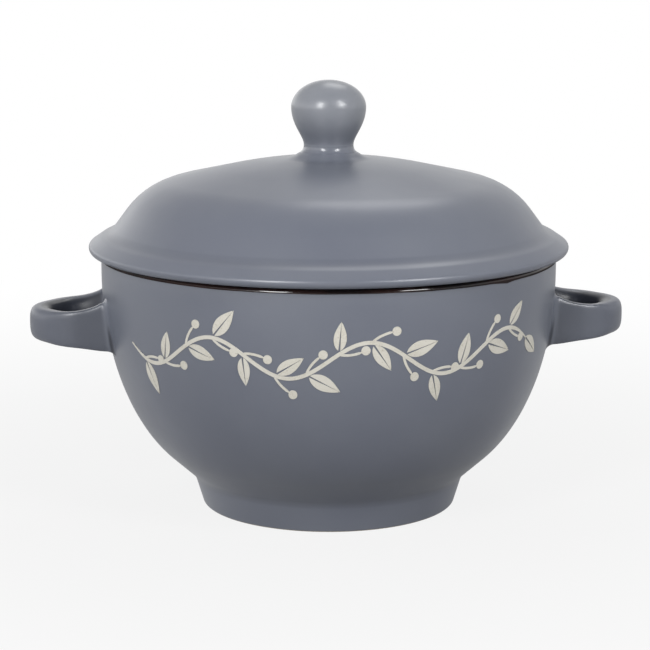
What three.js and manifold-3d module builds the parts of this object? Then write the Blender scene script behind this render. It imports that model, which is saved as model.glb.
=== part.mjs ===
// Two-handled lidded soup bowl in glazed stoneware.
// Millimetres, +Z up. The origin is the middle of the foot's resting plane, and the handles lie on X.

import * as THREE from 'three';
import { mergeVertices } from 'three/addons/utils/BufferGeometryUtils.js';
import Module from 'manifold-3d';

// Bowl
const BOWL_HEIGHT = 78; // resting plane to the top of the rim
const RIM_RADIUS = 68.8; // outside of the upright wall
const RIM_ROUND = 1.6; // rounding of the finished rim
const UPRIGHT_WALL = 6; // height of the upright wall between the belly's curve and the rim
const BELLY_REACH = 35; // how far the belly's curve draws in from the upright wall
const BOWL_WALL = 4.8; // finished wall, glaze included
const BOWL_FLOOR = 6; // finished floor over the foot's recess
const HEEL_DROP = 2; // lowest point of the belly's curve below the inside floor
const HEEL_WIDTH = 8.8; // from the foot's edge out to where the belly's curve starts
const FOOT_RADIUS = 38.6;
const FOOT_LEAN = 17; // degrees that the foot's side opens upwards
const FOOT_FILLET = 7; // hollow between the foot and the belly
const FOOT_RING_WIDTH = 5.5; // bare clay that meets the table
const FOOT_RECESS = 6; // hollow under the floor
const FOOT_EDGE_ROUND = 1.2;

// Dark glaze that lines the bowl and the lid
const GLAZE = 0.7; // thickness of the fired glaze
const GLAZE_LAP = 1.65; // how far it comes down the outside of the rim

// Joints between pieces
const JOIN_GAP = 0.3; // slip joint between pieces that are luted together
const SEAT_GAP = 0.2; // between the rim and the lid that rests on it
const RING_CLEARANCE = 1.2; // play of the locating ring in the bowl's mouth

// Lid
const LID_RISE = 27.7; // seat to the crown
const LID_OVERHANG = 3.65; // flange past the bowl's wall
const LID_WALL = 5; // finished wall, glaze included
const CROWN_RADIUS = 175; // shallow curve of the crown
const CROWN_SLOPE = 14; // degrees below level where the crown ends
const SHOULDER_ROUND = 24;
const SIDE_SLOPE = 53.5; // degrees below level of the dome's side
const WAIST_ROUND = 9.6; // hollow between the dome's side and the flange
const FLANGE_WIDTH = 6.7;
const FLANGE_SLOPE = 28.5; // degrees below level of the flange's top
const FLANGE_EDGE = 2.3; // height of the flange's edge
const FLANGE_EDGE_ROUND = 1.4;
const THROAT_ROUND = 6; // where the hollow of the lid turns down to the ring
const RING_THICKNESS = 3.8;
const RING_DEPTH = 8;
const RING_ROUND = 1.4;

// Knob
const KNOB_HEIGHT = 23.4; // above the crown
const KNOB_RADIUS = 11.2;
const KNOB_CAP = 8.8; // rounded cap above the widest line
const NECK_RADIUS = 7.5;
const NECK_HEIGHT = 3.6; // narrowest line above the crown
const NECK_FLARE = 4; // how far the neck spreads where it meets the crown
const NECK_EASE = 4.2; // length over which the neck leaves its narrowest line
const KNOB_EASE = 4.7; // length over which the ball leaves its widest line

// Handles
const HANDLE_REACH = 21.8; // tip past the bowl's wall
const HANDLE_WIDTH = 29; // across both legs
const HANDLE_THICKNESS = 5.6;
const HANDLE_DROP = 21.4; // middle of the tip below the rim
const HANDLE_TIP_HEIGHT = 10.8;
const HANDLE_ROOT_HEIGHT = 15.8;
const HANDLE_ROOT_LIFT = 0.9; // middle of the root above the middle of the tip
const HANDLE_TIP_CURVE = 11.2; // length of the rounded end
const HANDLE_FLARE = 2.6; // how sharply the strap widens towards its root
const HANDLE_EDGE = 3.2; // squareness of the strap's section, where 2 is an oval

// Fineness of the faceting
const TURN_STEPS = 40;
const KNOB_TURN_STEPS = 24;
const BELLY_STEPS = 8;
const CURVE_STEPS = 5;
const CHORD_ERROR = 0.1; // most that a facet of a fillet lies inside its arc
const STRAP_STEPS = 8; // facets along half of the handle's rounded end
const LEG_STEPS = 3;
const STRAP_SIDES = 12;

// Sizes that follow from the ones above
const SKIN = GLAZE + JOIN_GAP;
const FLOOR_TOP = FOOT_RECESS + BOWL_FLOOR;
const BELLY_TOP = BOWL_HEIGHT - UPRIGHT_WALL;
const BELLY_BASE = FLOOR_TOP - HEEL_DROP;
const BELLY_CENTRE = RIM_RADIUS - BELLY_REACH;
const MOUTH_RADIUS = RIM_RADIUS - BOWL_WALL;
const HOLLOW_CENTRE = MOUTH_RADIUS - BELLY_REACH;
const LAP_BOTTOM = BOWL_HEIGHT - GLAZE_LAP;
const LID_SEAT = BOWL_HEIGHT + SEAT_GAP;
const LID_TOP = LID_SEAT + LID_RISE;
const LID_RADIUS = RIM_RADIUS + LID_OVERHANG;
const RING_OUTER = MOUTH_RADIUS - RING_CLEARANCE;
const RING_INNER = RING_OUTER - RING_THICKNESS;
const HANDLE_TIP = RIM_RADIUS + HANDLE_REACH;

const wasm = await Module();
wasm.setup();

const radians = THREE.MathUtils.degToRad;
const point = (r, z) => new THREE.Vector2(r, z);
const heading = (degrees) => point(Math.cos(radians(degrees)), Math.sin(radians(degrees)));

// Where two lines cross, each given by a point and a direction.
function meet(start, direction, otherStart, otherDirection) {
  const along = otherStart.clone().sub(start).cross(otherDirection) / direction.cross(otherDirection);
  return start.clone().addScaledVector(direction, along);
}

// Outline through corners [r, z, fillet], each fillet an arc that is limited by the room beside it.
function filleted(corners) {
  const places = corners.map(([r, z]) => point(r, z));
  const side = (i, j) => places[j].clone().sub(places[i]);
  const halfAngle = (i) => Math.abs(side(i, i - 1).angleTo(side(i, i + 1))) / 2;
  const wanted = corners.map(([, , fillet], i) => (fillet ? fillet / Math.tan(halfAngle(i)) : 0));
  const fitted = (i, j) => Math.min(1, side(i, j).length() / (wanted[i] + wanted[j]));
  return places.flatMap((place, i) => {
    if (!wanted[i]) return [place];
    const tangent = wanted[i] * Math.min(fitted(i, i - 1), fitted(i, i + 1));
    const start = place.clone().addScaledVector(side(i, i - 1).normalize(), tangent);
    const end = place.clone().addScaledVector(side(i, i + 1).normalize(), tangent);
    const turn = Math.PI - 2 * halfAngle(i);
    const middle = side(i, i - 1).normalize().add(side(i, i + 1).normalize()).normalize();
    const centre = place.clone().addScaledVector(middle, tangent / Math.cos(halfAngle(i)));
    const radius = tangent * Math.tan(halfAngle(i));
    const steps = Math.ceil(turn / (2 * Math.acos(1 - CHORD_ERROR / Math.max(radius, CHORD_ERROR))));
    const way = Math.sign(start.clone().sub(centre).cross(end.clone().sub(centre)));
    return Array.from({ length: steps + 1 }, (_, k) => (
      start.clone().rotateAround(centre, (way * turn * k) / steps)
    ));
  });
}

// Belly's curve: a quarter ellipse, level at its base and upright at the top, from a radius on it.
function belly(centre, reach, base, startRadius = centre) {
  const rise = BELLY_TOP - base;
  const start = -Math.acos((startRadius - centre) / reach);
  return new THREE.EllipseCurve(centre, BELLY_TOP, reach, rise, start, 0).getPoints(BELLY_STEPS);
}

// Solid of revolution about Z from an outline that begins and ends on the axis, or closes on itself.
function revolve(outline, steps = TURN_STEPS) {
  return new THREE.LatheGeometry(outline, steps).rotateX(Math.PI / 2);
}

function solidOf(geometry) {
  const bare = geometry.clone();
  bare.deleteAttribute('normal');
  bare.deleteAttribute('uv');
  const merged = mergeVertices(bare);
  const corners = Array.from(merged.index.array);
  const faces = [];
  for (let i = 0; i < corners.length; i += 3) {
    const face = corners.slice(i, i + 3);
    if (new Set(face).size === 3) faces.push(...face);
  }
  return new wasm.Manifold(new wasm.Mesh({
    numProp: 3,
    vertProperties: new Float32Array(merged.attributes.position.array),
    triVerts: new Uint32Array(faces),
  }));
}

function geometryOf(solid) {
  const { vertProperties, triVerts } = solid.getMesh();
  const geometry = new THREE.BufferGeometry();
  geometry.setAttribute('position', new THREE.BufferAttribute(new Float32Array(vertProperties), 3));
  geometry.setIndex(Array.from(triVerts));
  geometry.computeVertexNormals();
  return geometry;
}

// Bowl body: foot ring, heel, belly and a rim that steps in for the glaze.
function bowlBody() {
  const heelRadius = FOOT_RADIUS + HEEL_WIDTH;
  const outside = belly(BELLY_CENTRE, BELLY_REACH, BELLY_BASE, heelRadius);
  const footSide = heading(90 - FOOT_LEAN);
  const heelSide = outside[1].clone().sub(outside[0]);
  const heel = meet(point(FOOT_RADIUS, 0), footSide, outside[0], heelSide);
  const ringInner = FOOT_RADIUS - FOOT_RING_WIDTH;
  const hollow = belly(HOLLOW_CENTRE, BELLY_REACH + SKIN, FLOOR_TOP - SKIN);
  const rimTop = BOWL_HEIGHT - SKIN;
  return revolve([
    ...filleted([
      [0, FOOT_RECESS],
      [ringInner, FOOT_RECESS, FOOT_EDGE_ROUND],
      [ringInner, 0, FOOT_EDGE_ROUND],
      [FOOT_RADIUS, 0, FOOT_EDGE_ROUND],
      [heel.x, heel.y, FOOT_FILLET],
      [outside[0].x, outside[0].y],
    ]),
    ...outside.slice(1),
    ...filleted([
      [RIM_RADIUS, LAP_BOTTOM - JOIN_GAP],
      [RIM_RADIUS - SKIN, LAP_BOTTOM - JOIN_GAP],
      [RIM_RADIUS - SKIN, rimTop, RIM_ROUND - SKIN],
      [MOUTH_RADIUS + SKIN, rimTop, RIM_ROUND - SKIN],
      [MOUTH_RADIUS + SKIN, BELLY_TOP],
    ]),
    ...hollow.reverse().slice(1),
    point(0, FLOOR_TOP - SKIN),
  ]);
}

// Bowl glaze: one skin over the floor, the wall and the rim, ending in a lap outside the rim.
function bowlGlaze() {
  const clayFace = belly(HOLLOW_CENTRE, BELLY_REACH + GLAZE, FLOOR_TOP - GLAZE);
  const openFace = belly(HOLLOW_CENTRE, BELLY_REACH, FLOOR_TOP);
  const under = BOWL_HEIGHT - GLAZE;
  return revolve([
    point(0, FLOOR_TOP - GLAZE),
    ...clayFace,
    ...filleted([
      [MOUTH_RADIUS + GLAZE, BELLY_TOP],
      [MOUTH_RADIUS + GLAZE, under, RIM_ROUND - GLAZE],
      [RIM_RADIUS - GLAZE, under, RIM_ROUND - GLAZE],
      [RIM_RADIUS - GLAZE, LAP_BOTTOM],
      [RIM_RADIUS, LAP_BOTTOM],
      [RIM_RADIUS, BOWL_HEIGHT, RIM_ROUND],
      [MOUTH_RADIUS, BOWL_HEIGHT, RIM_ROUND],
      [MOUTH_RADIUS, BELLY_TOP],
    ]).slice(1),
    ...openFace.reverse().slice(1),
    point(0, FLOOR_TOP),
  ]);
}

// Crown's height at a radius.
function crownHeight(radius) {
  return LID_TOP - CROWN_RADIUS + Math.sqrt(CROWN_RADIUS ** 2 - radius ** 2);
}

// Flange's upper corner, where its top meets its edge.
const flangeCorner = point(LID_RADIUS, LID_SEAT + FLANGE_EDGE);
// Foot of the dome's side, where it meets the flange's top.
const waist = point(LID_RADIUS - FLANGE_WIDTH,
  flangeCorner.y + FLANGE_WIDTH * Math.tan(radians(FLANGE_SLOPE)));

// Crown's arc, at a depth under the lid's outside, and the corner where it turns down the side.
function dome(depth) {
  const radius = CROWN_RADIUS - depth;
  const arc = new THREE.EllipseCurve(0, LID_TOP - CROWN_RADIUS, radius, radius,
    Math.PI / 2, Math.PI / 2 - radians(CROWN_SLOPE), true).getPoints(CURVE_STEPS);
  arc[0].x = 0;
  const sidePoint = waist.clone().addScaledVector(heading(90 - SIDE_SLOPE), -depth);
  const side = heading(-SIDE_SLOPE);
  const shoulder = meet(arc.at(-1), heading(-CROWN_SLOPE), sidePoint, side);
  return { arc, shoulder, sidePoint, side };
}

// Hollow of the lid at a depth under its outside, from the crown down to the throat at the seat.
function lidHollow(depth) {
  const { arc, shoulder, sidePoint, side } = dome(depth);
  const throatRadius = RING_INNER + LID_WALL - depth;
  const throat = meet(sidePoint, side, point(throatRadius, LID_SEAT), heading(90));
  return [
    ...arc.slice(0, -1),
    ...filleted([
      [arc.at(-1).x, arc.at(-1).y],
      [shoulder.x, shoulder.y, SHOULDER_ROUND - depth],
      [throat.x, throat.y, THROAT_ROUND],
      [throatRadius, LID_SEAT],
    ]),
  ];
}

// Lid shell: domed crown, side, hollow waist and a flange with a rounded edge.
function lidShell() {
  const { arc, shoulder } = dome(0);
  return revolve([
    ...lidHollow(LID_WALL - SKIN),
    ...filleted([
      [RIM_RADIUS, LID_SEAT],
      [LID_RADIUS, LID_SEAT, FLANGE_EDGE_ROUND],
      [flangeCorner.x, flangeCorner.y, FLANGE_EDGE_ROUND],
      [waist.x, waist.y, WAIST_ROUND],
      [shoulder.x, shoulder.y, SHOULDER_ROUND],
      [arc.at(-1).x, arc.at(-1).y],
    ]),
    ...arc.reverse().slice(1),
  ]);
}

// Lid glaze: one skin over the lid's hollow, down to the throat.
function lidGlaze() {
  return revolve([...lidHollow(LID_WALL), ...lidHollow(LID_WALL - GLAZE).reverse()]);
}

// Locating ring: luted under the seat, it drops into the bowl's mouth.
function locatingRing() {
  const top = LID_SEAT - JOIN_GAP;
  const bottom = top - RING_DEPTH;
  const loop = filleted([
    [RING_INNER, top],
    [RING_INNER, bottom, RING_ROUND],
    [RING_OUTER, bottom, RING_ROUND],
    [RING_OUTER, top],
    [RING_INNER, top],
  ]);
  return revolve(loop);
}

// Knob: a neck that spreads onto the crown, and a ball with a low rounded cap.
function lidKnob() {
  const baseRadius = NECK_RADIUS + NECK_FLARE;
  const neck = LID_TOP + NECK_HEIGHT;
  const widest = LID_TOP + KNOB_HEIGHT - KNOB_CAP;
  const footLine = crownHeight(baseRadius) + JOIN_GAP;
  const flare = new THREE.EllipseCurve(baseRadius, neck, NECK_FLARE, neck - footLine,
    1.5 * Math.PI, Math.PI, true);
  const waistCurve = new THREE.CubicBezierCurve(
    point(NECK_RADIUS, neck),
    point(NECK_RADIUS, neck + NECK_EASE),
    point(KNOB_RADIUS, widest - KNOB_EASE),
    point(KNOB_RADIUS, widest),
  );
  const cap = new THREE.EllipseCurve(0, widest, KNOB_RADIUS, KNOB_CAP, 0, Math.PI / 2).getPoints(CURVE_STEPS);
  cap.at(-1).x = 0;
  return revolve([
    point(0, LID_TOP + JOIN_GAP),
    point(baseRadius / 2, crownHeight(baseRadius / 2) + JOIN_GAP),
    ...flare.getPoints(CURVE_STEPS),
    ...waistCurve.getPoints(2 * CURVE_STEPS).slice(1),
    ...cap.slice(1),
  ], KNOB_TURN_STEPS);
}

// Middle line of the handle's strap in plan, from one root round the tip to the other root.
function strapLine() {
  const half = (HANDLE_WIDTH - HANDLE_THICKNESS) / 2;
  const tip = HANDLE_TIP - HANDLE_THICKNESS / 2;
  const bend = tip - HANDLE_TIP_CURVE;
  const buried = MOUTH_RADIUS;
  const leg = Array.from({ length: LEG_STEPS }, (_, k) => (
    point(THREE.MathUtils.lerp(buried, bend, k / LEG_STEPS), -half)
  ));
  const end = new THREE.EllipseCurve(bend, 0, HANDLE_TIP_CURVE, half, -Math.PI / 2, Math.PI / 2);
  const back = leg.map((place) => point(place.x, half)).reverse();
  return [...leg, ...end.getPoints(2 * STRAP_STEPS), ...back];
}

// Handle: a strap of rounded section that grows taller towards its roots, cut to the bowl's belly.
function handle() {
  const line = strapLine();
  const tipMiddle = BOWL_HEIGHT - HANDLE_DROP;
  const vertices = [];
  line.forEach((place, i) => {
    const before = line[Math.max(i - 1, 0)];
    const after = line[Math.min(i + 1, line.length - 1)];
    const along = after.clone().sub(before).normalize();
    const outward = point(along.y, -along.x);
    const rooted = Math.min((HANDLE_TIP - place.x) / HANDLE_REACH, 1) ** HANDLE_FLARE;
    const middle = tipMiddle + HANDLE_ROOT_LIFT * rooted;
    const height = THREE.MathUtils.lerp(HANDLE_TIP_HEIGHT, HANDLE_ROOT_HEIGHT, rooted);
    for (let k = 0; k < STRAP_SIDES; k += 1) {
      const angle = (2 * Math.PI * k) / STRAP_SIDES;
      const across = Math.sign(Math.cos(angle)) * Math.abs(Math.cos(angle)) ** (2 / HANDLE_EDGE);
      const up = Math.sign(Math.sin(angle)) * Math.abs(Math.sin(angle)) ** (2 / HANDLE_EDGE);
      const offset = outward.clone().multiplyScalar((across * HANDLE_THICKNESS) / 2);
      vertices.push(place.x + offset.x, place.y + offset.y, middle + (up * height) / 2);
    }
  });
  const strap = new THREE.BufferGeometry();
  strap.setAttribute('position', new THREE.BufferAttribute(new Float32Array(vertices), 3));
  strap.setIndex(tubeFaces(line.length, STRAP_SIDES));
  const bellyLine = belly(BELLY_CENTRE, BELLY_REACH + JOIN_GAP, BELLY_BASE - JOIN_GAP);
  const cutter = revolve([
    point(0, BELLY_BASE - JOIN_GAP),
    ...bellyLine,
    point(RIM_RADIUS + JOIN_GAP, BOWL_HEIGHT),
    point(0, BOWL_HEIGHT),
  ]);
  return geometryOf(solidOf(strap).subtract(solidOf(cutter)));
}

// Faces of a tube of rings, with a fan over each end.
function tubeFaces(rings, sides) {
  const faces = [];
  for (let i = 0; i < rings - 1; i += 1) {
    for (let k = 0; k < sides; k += 1) {
      const a = i * sides + k;
      const b = i * sides + ((k + 1) % sides);
      faces.push(a, b + sides, b, a, a + sides, b + sides);
    }
  }
  const last = (rings - 1) * sides;
  for (let k = 1; k < sides - 1; k += 1) {
    faces.push(0, k, k + 1);
    faces.push(last, last + k + 1, last + k);
  }
  return faces;
}

// Finishes
const stoneware = new THREE.MeshStandardMaterial({ color: '#6b6f79', roughness: 0.55, metalness: 0 });
const darkGlaze = new THREE.MeshStandardMaterial({ color: '#1b1211', roughness: 0.15, metalness: 0 });

function piece(name, geometry, material) {
  const mesh = new THREE.Mesh(geometry, material);
  mesh.name = name;
  return mesh;
}

const bowl = new THREE.Group();
bowl.add(piece('bowl_body', bowlBody(), stoneware));
bowl.add(piece('bowl_glaze_lining', bowlGlaze(), darkGlaze));
const strapHandle = handle();
bowl.add(piece('handle_right', strapHandle, stoneware));
const handleLeft = piece('handle_left', strapHandle, stoneware);
handleLeft.rotation.z = Math.PI;
bowl.add(handleLeft);

const lid = new THREE.Group();
lid.add(piece('lid_shell', lidShell(), stoneware));
lid.add(piece('lid_locating_ring', locatingRing(), stoneware));
lid.add(piece('lid_glaze_lining', lidGlaze(), darkGlaze));
lid.add(piece('lid_knob', lidKnob(), stoneware));

const liddedBowl = new THREE.Group();
liddedBowl.add(bowl, lid);

export default liddedBowl;
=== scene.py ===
"""Looks of a two-handled lidded soup bowl: satin blue-grey stoneware, a dark lining and a cream slip vine.

Lengths are in metres and angles in degrees, unless a docstring says otherwise. Values without a unit are
shares of 1, or of the value that their name gives.
"""

import logging
import math
from collections.abc import Callable
from dataclasses import dataclass
from enum import Enum

import bpy
from mathutils import Matrix, Vector
from mathutils.kdtree import KDTree


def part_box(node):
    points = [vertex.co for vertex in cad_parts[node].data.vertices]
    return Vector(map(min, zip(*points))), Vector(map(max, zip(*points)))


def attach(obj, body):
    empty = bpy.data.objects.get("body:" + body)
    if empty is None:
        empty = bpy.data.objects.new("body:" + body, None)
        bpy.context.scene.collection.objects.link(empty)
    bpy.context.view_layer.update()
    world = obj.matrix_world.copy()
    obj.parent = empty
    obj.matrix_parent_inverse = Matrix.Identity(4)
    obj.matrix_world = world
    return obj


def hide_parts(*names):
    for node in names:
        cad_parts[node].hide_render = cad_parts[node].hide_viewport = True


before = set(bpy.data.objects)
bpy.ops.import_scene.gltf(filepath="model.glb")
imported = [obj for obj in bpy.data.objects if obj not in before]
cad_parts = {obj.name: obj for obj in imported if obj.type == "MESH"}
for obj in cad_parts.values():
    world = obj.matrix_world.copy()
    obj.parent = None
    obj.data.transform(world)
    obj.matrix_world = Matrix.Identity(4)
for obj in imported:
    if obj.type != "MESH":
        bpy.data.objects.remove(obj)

LOG = logging.getLogger("lidded_bowl")

Colour = tuple[float, float, float, float]
Socket = bpy.types.NodeSocket
Piece = bpy.types.Object

TURN_STEPS = 144  # faces round a turned piece
ARC_STEP = math.radians(6)  # most that a rounded corner turns from one point to the next
LEAST_ARC_STEPS = 4  # steps of a rounded corner that hardly turns
CURVE_STEPS = 40  # steps along a long curve of an outline
MERGE = 1e-7  # points closer than this are one
LEVEL = 1e-5  # points of a flat face lie at most this far from its height
SHARP = math.radians(38)  # edges that turn more than this stay crisp
LUTED = 0.0004  # how far a luted piece is pressed into what carries it


class Side(Enum):
    """The two handles, by the way that each points along X."""

    RIGHT = 1
    LEFT = -1


class Slot(Enum):
    """The part's finishes, by their slots in the record."""

    SATIN = "grey_satin_glaze"
    GLOSS = "dark_gloss_glaze"
    SLIP = "cream_slip"


class Face(Enum):
    """The two decorated faces of the bowl, by their turn from the front in degrees."""

    FRONT = 0.0
    BACK = 180.0


Finishes = dict[Slot, bpy.types.Material]


def srgb(red: int, green: int, blue: int) -> Colour:
    """Turn a display colour into the linear colour that shaders take.

    Args:
        red: level of 0 to 255.
        green: level of 0 to 255.
        blue: level of 0 to 255.

    Returns:
        The linear colour, opaque.
    """
    def linear(level: int) -> float:
        """One channel, by the display curve."""
        share = level / 255
        return share / 12.92 if share <= 0.04045 else ((share + 0.055) / 1.055) ** 2.4

    return (linear(red), linear(green), linear(blue), 1.0)


def ramp(value: float, low: float, high: float) -> float:
    """Smooth step from 0 at low to 1 at high."""
    share = min(max((value - low) / (high - low), 0.0), 1.0)
    return share * share * (3 - 2 * share)


def mix(start: float, end: float, share: float) -> float:
    """Value a share of the way from start to end."""
    return start + (end - start) * share


def bearing(azimuth: float, elevation: float) -> Vector:
    """Direction from the bowl, turned from the front towards +X and raised from level."""
    turn, rise = math.radians(azimuth), math.radians(elevation)
    return Vector((math.sin(turn) * math.cos(rise), -math.cos(turn) * math.cos(rise), math.sin(rise)))


# Outlines of turned pieces: points are (radius, height)

def heading(degrees: float) -> Vector:
    """Direction in an outline, with 0 outwards and 90 up."""
    return Vector((math.cos(math.radians(degrees)), math.sin(math.radians(degrees))))


def meet(start: Vector, way: Vector, other: Vector, other_way: Vector) -> Vector:
    """Point where two lines of an outline cross.

    Args:
        start: a point on the first line.
        way: the first line's direction.
        other: a point on the second line.
        other_way: the second line's direction.

    Returns:
        The crossing point.
    """
    along = (other - start).cross(other_way) / way.cross(other_way)
    return start + way * along


def ellipse(centre: Vector, reach: float, rise: float, start: float, end: float) -> list[Vector]:
    """Arc of an upright ellipse.

    Args:
        centre: the ellipse's middle.
        reach: its half width.
        rise: its half height.
        start: first angle, counted from the outward side upwards.
        end: last angle.

    Returns:
        The arc's points, in order.
    """
    points = []
    for step in range(CURVE_STEPS + 1):
        way = heading(mix(start, end, step / CURVE_STEPS))
        points.append(centre + Vector((reach * way.x, rise * way.y)))
    return points


def bezier(start: Vector, lead: Vector, follow: Vector, end: Vector) -> list[Vector]:
    """Cubic curve between two points.

    Args:
        start: the first point.
        lead: the point that the curve sets out towards.
        follow: the point that it arrives from.
        end: the last point.

    Returns:
        The curve's points, in order.
    """
    points = []
    for step in range(CURVE_STEPS + 1):
        t = step / CURVE_STEPS
        first = start * (1 - t) ** 3 + lead * (3 * t * (1 - t) ** 2)
        points.append(first + follow * (3 * t * t * (1 - t)) + end * t ** 3)
    return points


def rounded(corners: list[tuple[float, float, float]]) -> list[Vector]:
    """Outline through corners, some of them rounded by an arc.

    Args:
        corners: radius, height and rounding of each corner, where a rounding of 0 keeps it sharp.

    Returns:
        The outline's points, in order.
    """
    places = [Vector((r, z)) for r, z, _ in corners]
    points = []
    for i, (_, _, fillet) in enumerate(corners):
        place = places[i]
        if not fillet:
            points.append(place)
            continue
        back = (places[i - 1] - place).normalized()
        ahead = (places[i + 1] - place).normalized()
        half = back.angle(ahead) / 2
        start = place + back * (fillet / math.tan(half))
        centre = place + (back + ahead).normalized() * (fillet / math.sin(half))
        turn = math.copysign(math.pi - 2 * half, ahead.cross(back))
        steps = max(LEAST_ARC_STEPS, math.ceil(abs(turn) / ARC_STEP))
        for step in range(steps + 1):
            points.append(centre + Matrix.Rotation(turn * step / steps, 2) @ (start - centre))
    return points


# Modelling steps that several pieces share

def start_clean() -> None:
    """Drop every selection, so that an operator acts on the new piece alone."""
    bpy.ops.object.select_all(action="DESELECT")
    bpy.context.view_layer.objects.active = None


def take(piece: Piece) -> None:
    """Select one piece alone and make it the active one.

    Args:
        piece: the piece to work on.
    """
    start_clean()
    piece.select_set(True)
    bpy.context.view_layer.objects.active = piece


def new_piece(name: str) -> Piece:
    """Name the primitive that was just added.

    Args:
        name: the piece's name, which its mesh takes too.

    Returns:
        The named piece.
    """
    piece = bpy.context.object
    piece.name = name
    piece.data.name = name
    return piece


def close_mesh(piece: Piece) -> None:
    """Merge doubled points and turn every face outwards.

    Args:
        piece: the piece to close.
    """
    take(piece)
    bpy.ops.object.mode_set(mode="EDIT")
    bpy.ops.mesh.select_all(action="SELECT")
    bpy.ops.mesh.remove_doubles(threshold=MERGE)
    bpy.ops.mesh.dissolve_degenerate(threshold=MERGE)
    bpy.ops.mesh.normals_make_consistent(inside=False)
    bpy.ops.object.mode_set(mode="OBJECT")


def smooth(piece: Piece) -> None:
    """Shade a piece smooth, apart from its crisp edges."""
    take(piece)
    bpy.ops.object.shade_smooth_by_angle(angle=SHARP)


def apply_modifier(piece: Piece, kind: str, **settings: object) -> None:
    """Add a modifier and apply it to the mesh.

    Args:
        piece: the piece to change.
        kind: the modifier's type.
        settings: the modifier's own options.
    """
    take(piece)
    modifier = piece.modifiers.new(kind.lower(), kind)
    for key, value in settings.items():
        setattr(modifier, key, value)
    bpy.ops.object.modifier_apply(modifier=modifier.name)


def reshape(piece: Piece, place: Callable[[Vector], Vector]) -> None:
    """Move every point of a piece.

    Args:
        piece: the piece to reshape.
        place: gives a point's new place.
    """
    for vertex in piece.data.vertices:
        vertex.co = place(vertex.co.copy())
    piece.data.update()


def paint(piece: Piece, name: str, value: Callable[[Vector], float]) -> None:
    """Store a value for each point of a piece, for its material to read.

    Args:
        piece: the finished mesh.
        name: the attribute's name.
        value: gives the value at a point.
    """
    attribute = piece.data.attributes.new(name, "FLOAT", "POINT")
    for vertex, entry in zip(piece.data.vertices, attribute.data):
        entry.value = value(vertex.co)


def turned(name: str, outline: list[Vector]) -> Piece:
    """Draw an outline point by point and spin it about the upright axis.

    Args:
        name: the piece's name.
        outline: points that begin and end on the axis, or close on themselves.

    Returns:
        The closed, smooth piece.
    """
    start_clean()
    bpy.ops.mesh.primitive_plane_add(size=1, location=(0, 0, 0))
    piece = new_piece(name)
    bpy.ops.object.mode_set(mode="EDIT")
    bpy.ops.mesh.select_all(action="SELECT")
    bpy.ops.mesh.merge(type="CENTER")
    bpy.ops.transform.translate(value=(outline[0].x, 0, outline[0].y))
    for before, after in zip(outline, outline[1:]):
        stride = after - before
        if stride.length > MERGE:
            bpy.ops.mesh.extrude_region_move(TRANSFORM_OT_translate={"value": (stride.x, 0, stride.y)})
    bpy.ops.mesh.select_all(action="SELECT")
    bpy.ops.mesh.spin(steps=TURN_STEPS, angle=math.tau, center=(0, 0, 0), axis=(0, 0, 1))
    bpy.ops.object.mode_set(mode="OBJECT")
    close_mesh(piece)
    smooth(piece)
    return piece


def pooling(outline: list[Vector], thinnest: float = 0.35) -> Callable[[Vector], float]:
    """Where fluid glaze gathers on a turned piece, and where it draws thin.

    Args:
        outline: the piece's outline, with its outside to the right of the way that it runs.
        thinnest: how thin the glaze may draw on an edge, of 1.

    Returns:
        A function of a point: above 0 in hollows, below 0 on edges.
    """
    full_bend = 900.0  # radians per metre at which the glaze is thickest or thinnest
    tree = KDTree(len(outline))
    bends = []
    for i, place in enumerate(outline):
        tree.insert((place.x, 0, place.y), i)
        back = place - outline[max(i - 1, 0)]
        ahead = outline[min(i + 1, len(outline) - 1)] - place
        if back.length < MERGE or ahead.length < MERGE:
            bends.append(0.0)
            continue
        bend = math.atan2(back.cross(ahead), back.dot(ahead)) / ((back.length + ahead.length) / 2)
        bends.append(min(max(-bend / full_bend, -thinnest), 1.0))
    tree.balance()

    def value(place: Vector) -> float:
        """Pooling at a point of the piece."""
        return bends[tree.find((math.hypot(place.x, place.y), 0, place.z))[1]]

    return value


def settle(piece: Piece, finishes: Finishes, slot: Slot, body: str, *nodes: str) -> Piece:
    """Give a piece its finish and tie it to its body and to the solids that it stands for.

    Args:
        piece: the finished mesh.
        finishes: the part's materials, by slot.
        slot: the piece's finish.
        body: the body that it moves with.
        nodes: the solids that it replaces.

    Returns:
        The same piece.
    """
    piece.data.materials.clear()
    piece.data.materials.append(finishes[slot])
    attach(piece, body)
    if nodes:
        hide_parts(*nodes)
    LOG.info("%s: %d faces, moves with %s", piece.name, len(piece.data.polygons), body)
    return piece


# Finishes

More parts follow.
